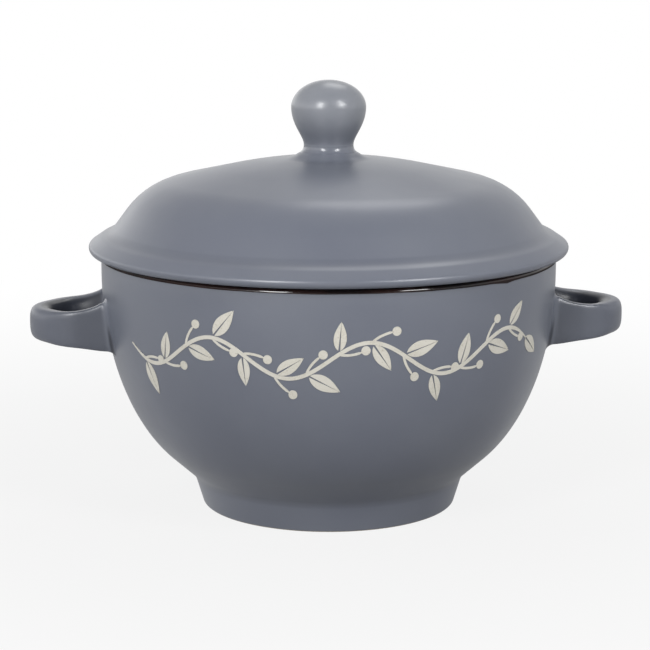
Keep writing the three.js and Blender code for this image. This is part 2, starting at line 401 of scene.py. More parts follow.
class Graph:
    """Node tree of a material or a group, with short ways to add and join nodes."""

    def __init__(self, tree: bpy.types.NodeTree) -> None:
        """Work on a tree."""
        self.tree = tree

    def add(self, kind: str, inputs: dict | None = None, **settings: object) -> bpy.types.Node:
        """Add a node.

        Args:
            kind: the node's type.
            inputs: a value or another node's socket for each input, by name or number.
            settings: the node's own options.

        Returns:
            The new node.
        """
        node = self.tree.nodes.new(kind)
        for key, value in settings.items():
            setattr(node, key, value)
        for key, value in (inputs or {}).items():
            if isinstance(value, Socket):
                self.tree.links.new(value, node.inputs[key])
            else:
                node.inputs[key].default_value = value
        return node

    def math(self, operation: str, first: Socket | float, second: Socket | float = 0.0) -> Socket:
        """Result of one sum, product or the like."""
        return self.add("ShaderNodeMath", {0: first, 1: second}, operation=operation).outputs[0]

    def blend(self, share: Socket | float, first: Socket | Colour, second: Socket | Colour) -> Socket:
        """Colour a share of the way from the first to the second."""
        node = self.add("ShaderNodeMix", {0: share, 6: first, 7: second}, data_type="RGBA")
        return node.outputs[2]

    def span(self, value: Socket, low: float, high: float, start: Socket | float, end: float) -> Socket:
        """Spread a value smoothly over another range.

        Args:
            value: the value to spread.
            low: value that gives the start.
            high: value that gives the end.
            start: result at low and below.
            end: result at high and above.

        Returns:
            The result.
        """
        node = self.add(
            "ShaderNodeMapRange",
            {"Value": value, "From Min": low, "From Max": high, "To Min": start, "To Max": end},
            interpolation_type="SMOOTHSTEP",
        )
        return node.outputs["Result"]

    def noise(self, place: Socket, scale: Socket, detail: float) -> Socket:
        """Soft noise about 0.5, with its scale in waves per metre."""
        node = self.add("ShaderNodeTexNoise", {"Vector": place, "Scale": scale, "Detail": detail})
        return node.outputs[0]

    def attribute(self, name: str) -> Socket:
        """Value that was stored on the mesh, or 0 where there is none."""
        return self.add("ShaderNodeAttribute", attribute_name=name).outputs["Fac"]

    def link(self, source: Socket, target: Socket) -> None:
        """Join two sockets."""
        self.tree.links.new(source, target)


FLOAT, VECTOR = "NodeSocketFloat", "NodeSocketVector"


def new_group(name: str, inputs: dict[str, str], outputs: list[str]) -> tuple[Graph, dict, dict]:
    """Start a shader node group.

    Args:
        name: the group's name.
        inputs: socket type of each input, by name.
        outputs: names of the values that it puts out.

    Returns:
        The group's graph, its inputs and its outputs, by name.
    """
    tree = bpy.data.node_groups.new(name, "ShaderNodeTree")
    for key, kind in inputs.items():
        tree.interface.new_socket(key, in_out="INPUT", socket_type=kind)
    for key in outputs:
        tree.interface.new_socket(key, in_out="OUTPUT", socket_type=FLOAT)
    entry = tree.nodes.new("NodeGroupInput")
    leave = tree.nodes.new("NodeGroupOutput")
    return Graph(tree), entry.outputs, leave.inputs


def kiln_clouds() -> bpy.types.NodeTree:
    """Build the group for fired glaze: slow clouds of tone, fine grain, and the height of its skin.

    Returns:
        The group.
    """
    cloud_detail, grain_detail, skin_detail = 3.0, 2.0, 1.0
    noise_low, noise_high = 0.3, 0.7  # most of the noise lies between these
    grain_height = 0.3  # the grain's part in the height of the skin
    graph, entry, leave = new_group(
        "kiln_clouds",
        {"Vector": VECTOR, "Cloud Scale": FLOAT, "Grain Scale": FLOAT, "Skin Scale": FLOAT},
        ["Cloud", "Grain", "Height"],
    )
    cloud = graph.noise(entry["Vector"], entry["Cloud Scale"], cloud_detail)
    grain = graph.noise(entry["Vector"], entry["Grain Scale"], grain_detail)
    skin = graph.noise(entry["Vector"], entry["Skin Scale"], skin_detail)
    graph.link(graph.span(cloud, noise_low, noise_high, 0.0, 1.0), leave["Cloud"])
    graph.link(graph.span(grain, noise_low, noise_high, 0.0, 1.0), leave["Grain"])
    graph.link(graph.math("ADD", skin, graph.math("MULTIPLY", grain, grain_height)), leave["Height"])
    return graph.tree


def fired_specks() -> bpy.types.NodeTree:
    """Build the group for specks: round dots of uneven size, some of them left out.

    Returns:
        The group.
    """
    least_size = 0.3  # added to the drawn size of every speck
    crispness = 2.0  # how fast a speck fades in from its rim
    graph, entry, leave = new_group(
        "fired_specks",
        {"Vector": VECTOR, "Scale": FLOAT, "Size": FLOAT, "Share": FLOAT},
        ["Mask"],
    )
    cells = graph.add("ShaderNodeTexVoronoi", {"Vector": entry["Vector"], "Scale": entry["Scale"]})
    draw = graph.add("ShaderNodeSeparateColor", {0: cells.outputs["Color"]})
    reach = graph.math("MULTIPLY", entry["Size"], graph.math("ADD", draw.outputs[1], least_size))
    dot = graph.math("SUBTRACT", 1.0, graph.math("DIVIDE", cells.outputs["Distance"], reach))
    soft = graph.add("ShaderNodeClamp", {0: graph.math("MULTIPLY", dot, crispness)}).outputs[0]
    kept = graph.math("LESS_THAN", draw.outputs[0], entry["Share"])
    graph.link(graph.math("MULTIPLY", soft, kept), leave["Mask"])
    return graph.tree


@dataclass(frozen=True)
class Groups:
    """Shader groups that the finishes share."""

    clouds: bpy.types.NodeTree
    specks: bpy.types.NodeTree


@dataclass(frozen=True)
class Surface:
    """Material in the making, with the masks that blend its tones."""

    material: bpy.types.Material
    graph: Graph
    shader: bpy.types.Node
    cloud: Socket
    grain: Socket
    specks: Socket


@dataclass(frozen=True)
class Finish:
    """What every finish has: clouds, grain and specks of tone, and a skin with a little relief."""

    groups: Groups
    name: str
    cloud_scale: float
    grain_scale: float
    skin_scale: float
    speck_scale: float
    speck_size: float
    speck_share: float
    relief: float
    relief_depth: float

    def surface(self) -> Surface:
        """Start the material, with its masks on object coordinates and its relief.

        Returns:
            The material in the making.
        """
        material = bpy.data.materials.new(self.name)
        material.use_nodes = True
        graph = Graph(material.node_tree)
        shader = material.node_tree.nodes["Principled BSDF"]
        place = graph.add("ShaderNodeTexCoord").outputs["Object"]
        scales = {
            "Vector": place,
            "Cloud Scale": self.cloud_scale,
            "Grain Scale": self.grain_scale,
            "Skin Scale": self.skin_scale,
        }
        clouds = graph.add("ShaderNodeGroup", scales, node_tree=self.groups.clouds).outputs
        dots = {
            "Vector": place,
            "Scale": self.speck_scale,
            "Size": self.speck_size,
            "Share": self.speck_share,
        }
        specks = graph.add("ShaderNodeGroup", dots, node_tree=self.groups.specks).outputs["Mask"]
        skin = {"Strength": self.relief, "Distance": self.relief_depth, "Height": clouds["Height"]}
        graph.link(graph.add("ShaderNodeBump", skin).outputs[0], shader.inputs["Normal"])
        return Surface(material, graph, shader, clouds["Cloud"], clouds["Grain"], specks)


@dataclass(frozen=True)
class SatinGlaze(Finish):
    """Satin blue-grey glaze, which pools in hollows, thins on edges and is wiped off where clay rests; its
    darker tone also paints shade on the handles and its lighter tone paints light on the knob.
    """

    name: str = "satin_blue_grey"
    cloud_scale: float = 40.0
    grain_scale: float = 1400.0
    skin_scale: float = 420.0
    speck_scale: float = 420.0
    speck_size: float = 0.2
    speck_share: float = 0.14
    relief: float = 0.04
    relief_depth: float = 0.0001
    tone: Colour = srgb(97, 101, 111)
    cloud_tone: Colour = srgb(93, 97, 108)
    # darkest tone: glaze pooled in hollows, and painted shade inside the handle loops and under their roots
    pooled_and_shade_tone: Colour = srgb(42, 45, 54)
    # lighter tone: random grain, glaze thin on edges, and painted light on the upper knob
    thin_tone: Colour = srgb(124, 127, 133)
    clay_tone: Colour = srgb(205, 193, 172)
    clay_dark: Colour = srgb(165, 148, 124)
    grain_strength: float = 0.02
    pooled_and_shade_strength: float = 0.95
    thin_strength: float = 0.9
    speck_strength: float = 0.04
    wiped_wander: float = 0.3
    wiped_low: float = 0.4
    wiped_high: float = 0.6
    ior: float = 1.58
    smoothest: float = 0.34
    roughest: float = 0.37
    wet_roughness: float = 0.24
    dry_roughness: float = 0.7
    clay_roughness: float = 0.85

    def material(self) -> bpy.types.Material:
        """Build the glaze's material.

        Returns:
            The material.
        """
        made = self.surface()
        graph, shader = made.graph, made.shader
        pooled_and_painted_shading = graph.attribute("pooling")
        wander = graph.math("MULTIPLY", graph.math("SUBTRACT", made.grain, 0.5), self.wiped_wander)
        bare_edge = graph.math("ADD", graph.attribute("bare_clay"), wander)
        bare = graph.span(bare_edge, self.wiped_low, self.wiped_high, 0.0, 1.0)

        tone = graph.blend(made.cloud, self.tone, self.cloud_tone)
        tone = graph.blend(graph.math("MULTIPLY", made.grain, self.grain_strength), tone, self.thin_tone)
        # darker where glaze pools, and painted shade on the handles
        tone = graph.blend(graph.span(pooled_and_painted_shading, 0.0, 1.0, 0.0, self.pooled_and_shade_strength), tone, self.pooled_and_shade_tone)
        # lighter where glaze runs thin on edges, and painted light on the knob
        thin = graph.math("MULTIPLY", pooled_and_painted_shading, -1.0)
        tone = graph.blend(graph.span(thin, 0.0, 1.0, 0.0, self.thin_strength), tone, self.thin_tone)
        tone = graph.blend(graph.math("MULTIPLY", made.specks, self.speck_strength), tone, self.pooled_and_shade_tone)
        clay = graph.blend(graph.math("MAXIMUM", made.grain, made.specks), self.clay_tone, self.clay_dark)
        graph.link(graph.blend(bare, tone, clay), shader.inputs["Base Color"])

        satin = graph.span(made.cloud, 0.0, 1.0, self.smoothest, self.roughest)
        satin = graph.span(graph.attribute("wet_glaze"), 0.0, 1.0, satin, self.wet_roughness)
        satin = graph.span(graph.attribute("dry_glaze"), 0.0, 1.0, satin, self.dry_roughness)
        graph.link(graph.span(bare, 0.0, 1.0, satin, self.clay_roughness), shader.inputs["Roughness"])
        shader.inputs["IOR"].default_value = self.ior
        return made.material


@dataclass(frozen=True)
class GlossGlaze(Finish):
    """Glossy brown-black glaze, which breaks to red-brown where it runs thin and is matt where it ran dry."""

    name: str = "gloss_brown_black"
    cloud_scale: float = 60.0
    grain_scale: float = 700.0
    skin_scale: float = 160.0
    speck_scale: float = 500.0
    speck_size: float = 0.3
    speck_share: float = 0.25
    relief: float = 0.15
    relief_depth: float = 0.0002
    tone: Colour = srgb(16, 12, 13)
    warm_tone: Colour = srgb(27, 18, 17)
    thin_tone: Colour = srgb(64, 34, 28)
    thin_start: float = 0.2
    thin_strength: float = 0.4
    speck_strength: float = 0.4
    smoothest: float = 0.07
    roughest: float = 0.12
    dry_roughness: float = 1.0

    def material(self) -> bpy.types.Material:
        """Build the glaze's material.

        Returns:
            The material.
        """
        made = self.surface()
        graph, shader = made.graph, made.shader
        thin = graph.math("MULTIPLY", graph.attribute("pooling"), -1.0)
        thin = graph.span(thin, self.thin_start, 1.0, 0.0, self.thin_strength)
        tone = graph.blend(made.cloud, self.tone, self.warm_tone)
        tone = graph.blend(graph.math("MULTIPLY", made.specks, self.speck_strength), tone, self.thin_tone)
        tone = graph.blend(graph.math("MULTIPLY", thin, made.cloud), tone, self.thin_tone)
        graph.link(tone, shader.inputs["Base Color"])

        gloss = graph.span(made.grain, 0.0, 1.0, self.smoothest, self.roughest)
        gloss = graph.span(graph.attribute("dry_glaze"), 0.0, 1.0, gloss, self.dry_roughness)
        graph.link(gloss, shader.inputs["Roughness"])
        return made.material


@dataclass(frozen=True)
class CreamSlip(Finish):
    """Matt cream slip, finely speckled, that fills the painted vine."""

    name: str = "matt_cream_slip"
    cloud_scale: float = 220.0
    grain_scale: float = 2600.0
    skin_scale: float = 1500.0
    speck_scale: float = 1300.0
    speck_size: float = 0.3
    speck_share: float = 0.16
    relief: float = 0.3
    relief_depth: float = 0.00006
    tone: Colour = srgb(190, 187, 178)
    shade_tone: Colour = srgb(178, 174, 162)
    speck_tone: Colour = srgb(142, 133, 120)
    speck_strength: float = 0.5
    smoothest: float = 0.58
    roughest: float = 0.72

    def material(self) -> bpy.types.Material:
        """Build the slip's material.

        Returns:
            The material.
        """
        made = self.surface()
        graph, shader = made.graph, made.shader
        worn = graph.math("MULTIPLY", made.cloud, made.grain)
        tone = graph.blend(worn, self.tone, self.shade_tone)
        tone = graph.blend(graph.math("MULTIPLY", made.specks, self.speck_strength), tone, self.speck_tone)
        graph.link(tone, shader.inputs["Base Color"])
        matt = graph.span(made.grain, 0.0, 1.0, self.smoothest, self.roughest)
        graph.link(matt, shader.inputs["Roughness"])
        return made.material


# The part's pieces

@dataclass(frozen=True)
class Bowl:
    """Bowl with its foot ring, and the dark glaze that lines it and laps over the rim.

    lap_waves gives the count round the rim, the size, and the phase in radians, of each wave of the lap.
    """

    finishes: Finishes
    height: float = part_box("bowl_glaze_lining")[1].z
    rim_radius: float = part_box("bowl_body")[1].x
    rim_round: float = 0.0016
    upright_wall: float = 0.006
    belly_reach: float = 0.035
    wall: float = 0.0048
    floor: float = 0.006
    heel_drop: float = 0.002
    heel_slope: float = 42.0
    foot_radius: float = 0.0386
    foot_lean: float = 17.0
    foot_fillet: float = 0.007
    foot_ring_width: float = 0.0055
    foot_recess: float = 0.006
    foot_edge_round: float = 0.0012
    glaze: float = 0.0007
    glaze_lap: float = 0.00165
    lap_film: float = 0.0001
    lap_wave: float = 0.00004
    lap_waves: tuple[tuple[int, float, float], ...] = ((5, 1.0, 0.6), (13, 0.6, 0.0), (29, 0.5, 2.0))
    lap_tilt: float = 0.0003
    lap_step: float = 0.00016
    drip_length: float = 0.0005
    drip_azimuth: float = 42.0
    drip_width: float = 2.2
    lap_dry: float = 0.00042
    dry_climb: float = 2.0
    climb_start: float = 0.25
    climb_end: float = 0.8
    wiped: float = 0.0003

    @property
    def belly_top(self) -> float:
        """Height where the belly's curve turns upright."""
        return self.height - self.upright_wall

    @property
    def floor_top(self) -> float:
        """Height of the finished floor."""
        return self.foot_recess + self.floor

    @property
    def belly_rise(self) -> float:
        """Height of the belly's curve on the outside."""
        return self.belly_top - self.floor_top + self.heel_drop

    @property
    def mouth_radius(self) -> float:
        """Inside of the upright wall."""
        return self.rim_radius - self.wall

    def wall_radius(self, height: float) -> float:
        """Outside radius of the belly at a height above the heel."""
        drop = max(self.belly_top - height, 0.0) / self.belly_rise
        return self.rim_radius - self.belly_reach * (1 - math.sqrt(max(1 - drop * drop, 0.0)))

    def wall_lean(self, height: float) -> float:
        """How fast the outside radius grows with height."""
        drop = max(self.belly_top - height, 0.0) / self.belly_rise
        return self.belly_reach * drop / (self.belly_rise * math.sqrt(max(1 - drop * drop, 1e-6)))

    def on_wall(self, azimuth: float, height: float, lift: float) -> Vector:
        """Point on the outside of the belly.

        Args:
            azimuth: angle from the front towards +X, in radians.
            height: height above the table.
            lift: distance off the wall, along its normal.

        Returns:
            The point.
        """
        lean = self.wall_lean(height)
        normal = Vector((1, -lean)).normalized()
        radius = self.wall_radius(height) + normal.x * lift
        return Vector((radius * math.sin(azimuth), -radius * math.cos(azimuth), height + normal.y * lift))

    def hollow(self, depth: float) -> list[Vector]:
        """Outline of the bowl's inside.

        Args:
            depth: how far under the finished face.

        Returns:
            The outline's points, from the mouth down to the axis.
        """
        centre = Vector((self.mouth_radius - self.belly_reach, self.belly_top))
        rise = self.belly_top - self.floor_top + depth
        curve = ellipse(centre, self.belly_reach + depth, rise, 0, -90)
        return [*curve, Vector((0, self.floor_top - depth))]

    def body(self) -> Piece:
        """Turn the clay body, with a rim that steps in for the glaze.

        Returns:
            The finished body.
        """
        belly_centre = Vector((self.rim_radius - self.belly_reach, self.belly_top))
        slope = math.tan(math.radians(self.heel_slope))
        heel_angle = math.degrees(math.atan(self.belly_rise / (self.belly_reach * slope)))
        outside = ellipse(belly_centre, self.belly_reach, self.belly_rise, -heel_angle, 0)
        heel = meet(Vector((self.foot_radius, 0)), heading(90 - self.foot_lean),
                    outside[0], heading(self.heel_slope))
        ring_inner = self.foot_radius - self.foot_ring_width
        lap_bottom = self.height - self.glaze_lap + self.lap_tilt + self.lap_step
        rim_top = self.height - self.glaze
        rim_round = self.rim_round - self.glaze
        hollow = self.hollow(self.glaze)
        outline = [
            *rounded([
                (0, self.foot_recess, 0),
                (ring_inner, self.foot_recess, 2 * self.foot_edge_round),
                (ring_inner, 0, self.foot_edge_round),
                (self.foot_radius, 0, self.foot_edge_round),
                (heel.x, heel.y, self.foot_fillet),
                (outside[0].x, outside[0].y, 0),
            ]),
            *outside[1:],
            *rounded([
                (self.rim_radius, lap_bottom, 0),
                (self.rim_radius - self.glaze, lap_bottom, 0),
                (self.rim_radius - self.glaze, rim_top, rim_round),
                (self.mouth_radius + self.glaze, rim_top, rim_round),
                (hollow[0].x, hollow[0].y, 0),
            ]),
            *hollow[1:],
        ]
        piece = turned("bowl_body_glazed", outline)
        paint(piece, "pooling", pooling(outline))
        paint(piece, "bare_clay", lambda place: 1.0 if place.z < self.wiped else 0.0)
        return settle(piece, self.finishes, Slot.SATIN, "bowl", "bowl_body")

    def lining(self) -> Piece:
        """Turn the dark glaze, and let the edge of its lap run a little unevenly.

        Returns:
            The finished lining.
        """
        lap_bottom = self.height - self.glaze_lap
        lap_radius = self.rim_radius + self.lap_film
        under = self.height - self.glaze
        inner_round = self.rim_round - self.glaze
        open_face = self.hollow(0.0)
        clay_face = self.hollow(self.glaze)[::-1]
        edge = self.lap_film / 2
        outline = [
            *clay_face[:-1],
            *rounded([
                (self.mouth_radius + self.glaze, self.belly_top, 0),
                (self.mouth_radius + self.glaze, under, inner_round),
                (self.rim_radius - self.glaze, under, inner_round),
                (self.rim_radius - self.glaze, lap_bottom, 0),
                (lap_radius, lap_bottom, edge),
                (lap_radius, self.height, self.rim_round),
                (self.mouth_radius, self.height, self.rim_round),
                (open_face[0].x, open_face[0].y, 0),
            ]),
            *open_face[1:],
        ]
        piece = turned("bowl_lining_glaze", outline)
        paint(piece, "pooling", pooling(outline, 1.0))

        def dry(place: Vector) -> float:
            """How dry the lap's lower edge is, which climbs higher on its short left side.

            Args:
                place: a point of the lining.

            Returns:
                1 along the edge, where the glaze ran out thin, easing to 0 above it.
            """
            radius = math.hypot(place.x, place.y)
            if radius < self.mouth_radius + self.rim_round:
                return 0.0
            climb = self.dry_climb * ramp(-place.x / radius, self.climb_start, self.climb_end)
            reach = self.lap_dry * (1 + climb)
            return 1 - ramp(place.z - lap_bottom, reach / 3, reach)

        paint(piece, "dry_glaze", dry)

        def run(place: Vector) -> Vector:
            """Let the lap's lower edge lie a little askew and wander, with one drip.

            Args:
                place: a point of the lining.

            Returns:
                Its new place.
            """
            if place.z < lap_bottom + 2 * edge and math.hypot(place.x, place.y) > self.mouth_radius:
                azimuth = math.atan2(place.x, -place.y)
                waves = (size * math.sin(count * azimuth + phase) for count, size, phase in self.lap_waves)
                drip = (math.degrees(azimuth) - self.drip_azimuth) / self.drip_width
                place.z += self.lap_wave * sum(waves) - self.lap_tilt * math.sin(azimuth)
                place.z -= self.drip_length * math.exp(-drip * drip)
            return place

        reshape(piece, run)
        return settle(piece, self.finishes, Slot.GLOSS, "bowl", "bowl_glaze_lining")


@dataclass(frozen=True)
class StrapHandle:
    """Strap loop of rounded section, luted to the wall with a little flare at its roots."""

    finishes: Finishes
    bowl: Bowl
    tip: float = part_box("handle_right")[1].x
    width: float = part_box("handle_right")[1].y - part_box("handle_right")[0].y
    thickness: float = 0.0056
    tip_extra: float = 0.0011
    drop: float = 0.02085
    tip_height: float = 0.0097
    top_rise: float = 0.0026
    top_flare: float = 4.5
    under_drop: float = 0.0022
    under_flare: float = 2.0
    tip_curve: float = 0.0125
    tip_squareness: float = 3.2
    leg_squareness: float = 8.0
    inside_squareness: float = 2.3
    crest: float = 0.22
    root_squareness: float = 4.0
    root_onset: float = 4.0
    root_flare: float = 0.0018
    root_ease: float = 0.004
    root_crowding: float = 1.6
    # strap_darkening darkens the whole strap a little; the fields below place painted shade inside the loop
    # and in the crease under the roots
    strap_darkening: float = 0.34
    fade_reach: float = 0.0027
    crease_middle: float = 0.0006
    crease_reach: float = 0.0009
    loop_start: float = 0.00252
    loop_full: float = 0.0042
    dry_reach: float = 0.008
    sides: int = 40
    leg_steps: int = 18
    bend_steps: int = 44

    @property
    def reach(self) -> float:
        """Tip past the bowl's wall."""
        return self.tip - self.bowl.rim_radius

    @property
    def middle(self) -> float:
        """Height of the middle of the tip."""
        return self.bowl.height - self.drop

    def lowered(self, height: float) -> float:
        """1 at the strap's lower edge and below, easing to 0 at its top."""
        return 1 - ramp(height, self.middle - self.tip_height / 2, self.middle + self.tip_height / 2)

    def section(self, x: float, turn: float) -> tuple[float, float]:
        """Offset across the strap and height at a turn round its section.

        Args:
            x: the station's distance from the bowl's axis.
            turn: angle round the section, in radians.

        Returns:
            Offset outwards from the strap's middle line, and height above the table.
        """
        rooted = min(max((self.tip - x) / self.reach, 0.0), 1.0)
        top = self.middle + self.tip_height / 2 + self.top_rise * rooted ** self.top_flare
        under = self.middle - self.tip_height / 2 - self.under_drop * rooted ** self.under_flare
        on_leg = ramp(self.tip - x, self.thickness, self.tip_curve)
        crest = self.thickness * self.crest * on_leg
        outside = math.cos(turn) > 0
        inner = mix(self.tip_squareness, self.inside_squareness, on_leg)
        leg = mix(self.leg_squareness, self.root_squareness, rooted ** self.root_onset)
        outer = mix(self.tip_squareness, leg, on_leg)
        squareness = outer if outside else inner
        inside = self.thickness / 2 + crest + self.tip_extra * (1 - on_leg)
        depth = self.thickness / 2 - crest if outside else inside
        reach = (abs(math.cos(turn)) ** squareness + abs(math.sin(turn)) ** squareness) ** (-1 / squareness)
        return crest + math.cos(turn) * reach * depth, mix(under, top, (1 + math.sin(turn) * reach) / 2)

    def station(self, along: float) -> tuple[Vector, Vector, float]:
        """Place on the strap's middle line in plan.

        Args:
            along: 0 at one root, 0.5 at the tip and 1 at the other root.

        Returns:
            The place, the outward direction, and the distance from the wall if it is on a leg, else -1.
        """
        half = (self.width - self.thickness) / 2
        bend = self.tip - self.thickness / 2 - self.tip_curve
        wall = math.sqrt(self.bowl.wall_radius(self.middle) ** 2 - half ** 2)
        share = min(along, 1 - along) * 2
        side = -1.0 if along <= 0.5 else 1.0
        leg_share = self.leg_steps / (self.leg_steps + self.bend_steps / 2)
        if share < leg_share:
            gap = mix(-LUTED, bend - wall, (share / leg_share) ** self.root_crowding)
            return Vector((wall + gap, side * half)), Vector((0, side)), gap
        angle = math.pi / 2 * (1 - (share - leg_share) / (1 - leg_share))
        place = Vector((bend + self.tip_curve * math.cos(angle), side * half * math.sin(angle)))
        outward = Vector((math.cos(angle) / self.tip_curve, side * math.sin(angle) / half)).normalized()
        return place, outward, -1.0

    def loft(self, flat: Vector) -> Vector:
        """Roll a flat grid into the strap.

        Args:
            flat: a point of the grid, with the share round the section as x and along the loop as y.

        Returns:
            The point's place on the right handle.
        """
        place, outward, gap = self.station(flat.y)
        offset, height = self.section(place.x, math.tau * flat.x)
        if gap < -LUTED * 2:
            return Vector((place.x + outward.x * offset, place.y + outward.y * offset, height))
        near = max(1 - max(gap, 0.0) / self.root_flare, 0.0)
        swell = self.root_flare * (1 - math.sqrt(max(1 - near * near, 0.0)))
        centre = self.middle + (self.top_rise - self.under_drop) / 2
        stretch = 1 + 2 * swell / (self.tip_height + self.top_rise + self.under_drop)
        offset *= 1 + swell / (self.thickness / 2)
        height = centre + (height - centre) * stretch
        across = place.y + outward.y * offset
        wall = math.sqrt(max(self.bowl.wall_radius(height) ** 2 - across ** 2, 0.0))
        flush = 1 - ramp(gap, 0.0, self.root_ease)
        x = mix(place.x, wall + gap, flush)
        return Vector((x, across, height))

    def build(self, side: Side) -> Piece:
        """Model one handle, on its own side of the bowl.

        Args:
            side: which handle.

        Returns:
            The finished handle.
        """
        steps = 2 * self.leg_steps + self.bend_steps
        start_clean()
        bpy.ops.mesh.primitive_grid_add(x_subdivisions=self.sides, y_subdivisions=steps, size=1)
        piece = new_piece(f"handle_{side.name.lower()}_strap")
        reshape(piece, lambda flat: self.loft(flat + Vector((0.5, 0.5, 0))))
        close_mesh(piece)
        bpy.ops.object.mode_set(mode="EDIT")
        bpy.ops.mesh.select_all(action="DESELECT")
        bpy.ops.mesh.select_mode(type="EDGE")
        bpy.ops.mesh.select_non_manifold()
        bpy.ops.mesh.edge_face_add()
        bpy.ops.mesh.select_mode(type="VERT")
        bpy.ops.object.mode_set(mode="OBJECT")
        if side is Side.LEFT:
            reshape(piece, lambda place: Vector((-place.x, -place.y, place.z)))
        close_mesh(piece)
        apply_modifier(piece, "SUBSURF", levels=1, render_levels=1)
        smooth(piece)
        # the pooling attribute of a handle holds the strap's darkening and its painted shade
        paint(piece, "pooling", self.pooled_and_painted_shading)
        paint(piece, "dry_glaze", self.dry)
        return settle(piece, self.finishes, Slot.SATIN, "bowl", f"handle_{side.name.lower()}")

    def in_loop(self, place: Vector) -> float:
        """How far a point looks into the loop.

        Args:
            place: a point of the handle.

        Returns:
            1 on the faces that look into the loop, easing to 0 on the outer ones.
        """
        half = self.width / 2
        beside = abs(place.y) / half
        beyond = max(abs(place.x) - (self.tip - half), 0.0) / half
        from_edge = half * (1 - math.hypot(beside, beyond))
        return ramp(from_edge, self.loop_start, self.loop_full)

    def dry(self, place: Vector) -> float:
        """1 inside the loop beside the wall, where the spray hardly reached."""
        beyond = abs(place.x) - self.bowl.rim_radius
        return self.in_loop(place) * (1 - ramp(beyond, 0.0, self.dry_reach))

    def pooled_and_painted_shading(self, place: Vector) -> float:
        """Darkening of the strap: a little all over it, and painted shade inside the loop and in the corner
        under the roots, where shade falls.

        Args:
            place: a point of the handle.

        Returns:
            1 where the strap is painted darkest, and 0 where it is as on the wall.
        """
        gap = math.hypot(place.x, place.y) - self.bowl.wall_radius(place.z)
        off_wall = ramp(gap, 0.0, self.fade_reach)
        # painted shade in the corner where the lower strap meets the wall
        painted_crease_shade = 1 - ramp(abs(gap - self.crease_middle), 0.0, self.crease_reach)
        return max(off_wall * max(self.strap_darkening, self.in_loop(place)), painted_crease_shade * self.lowered(place.z))


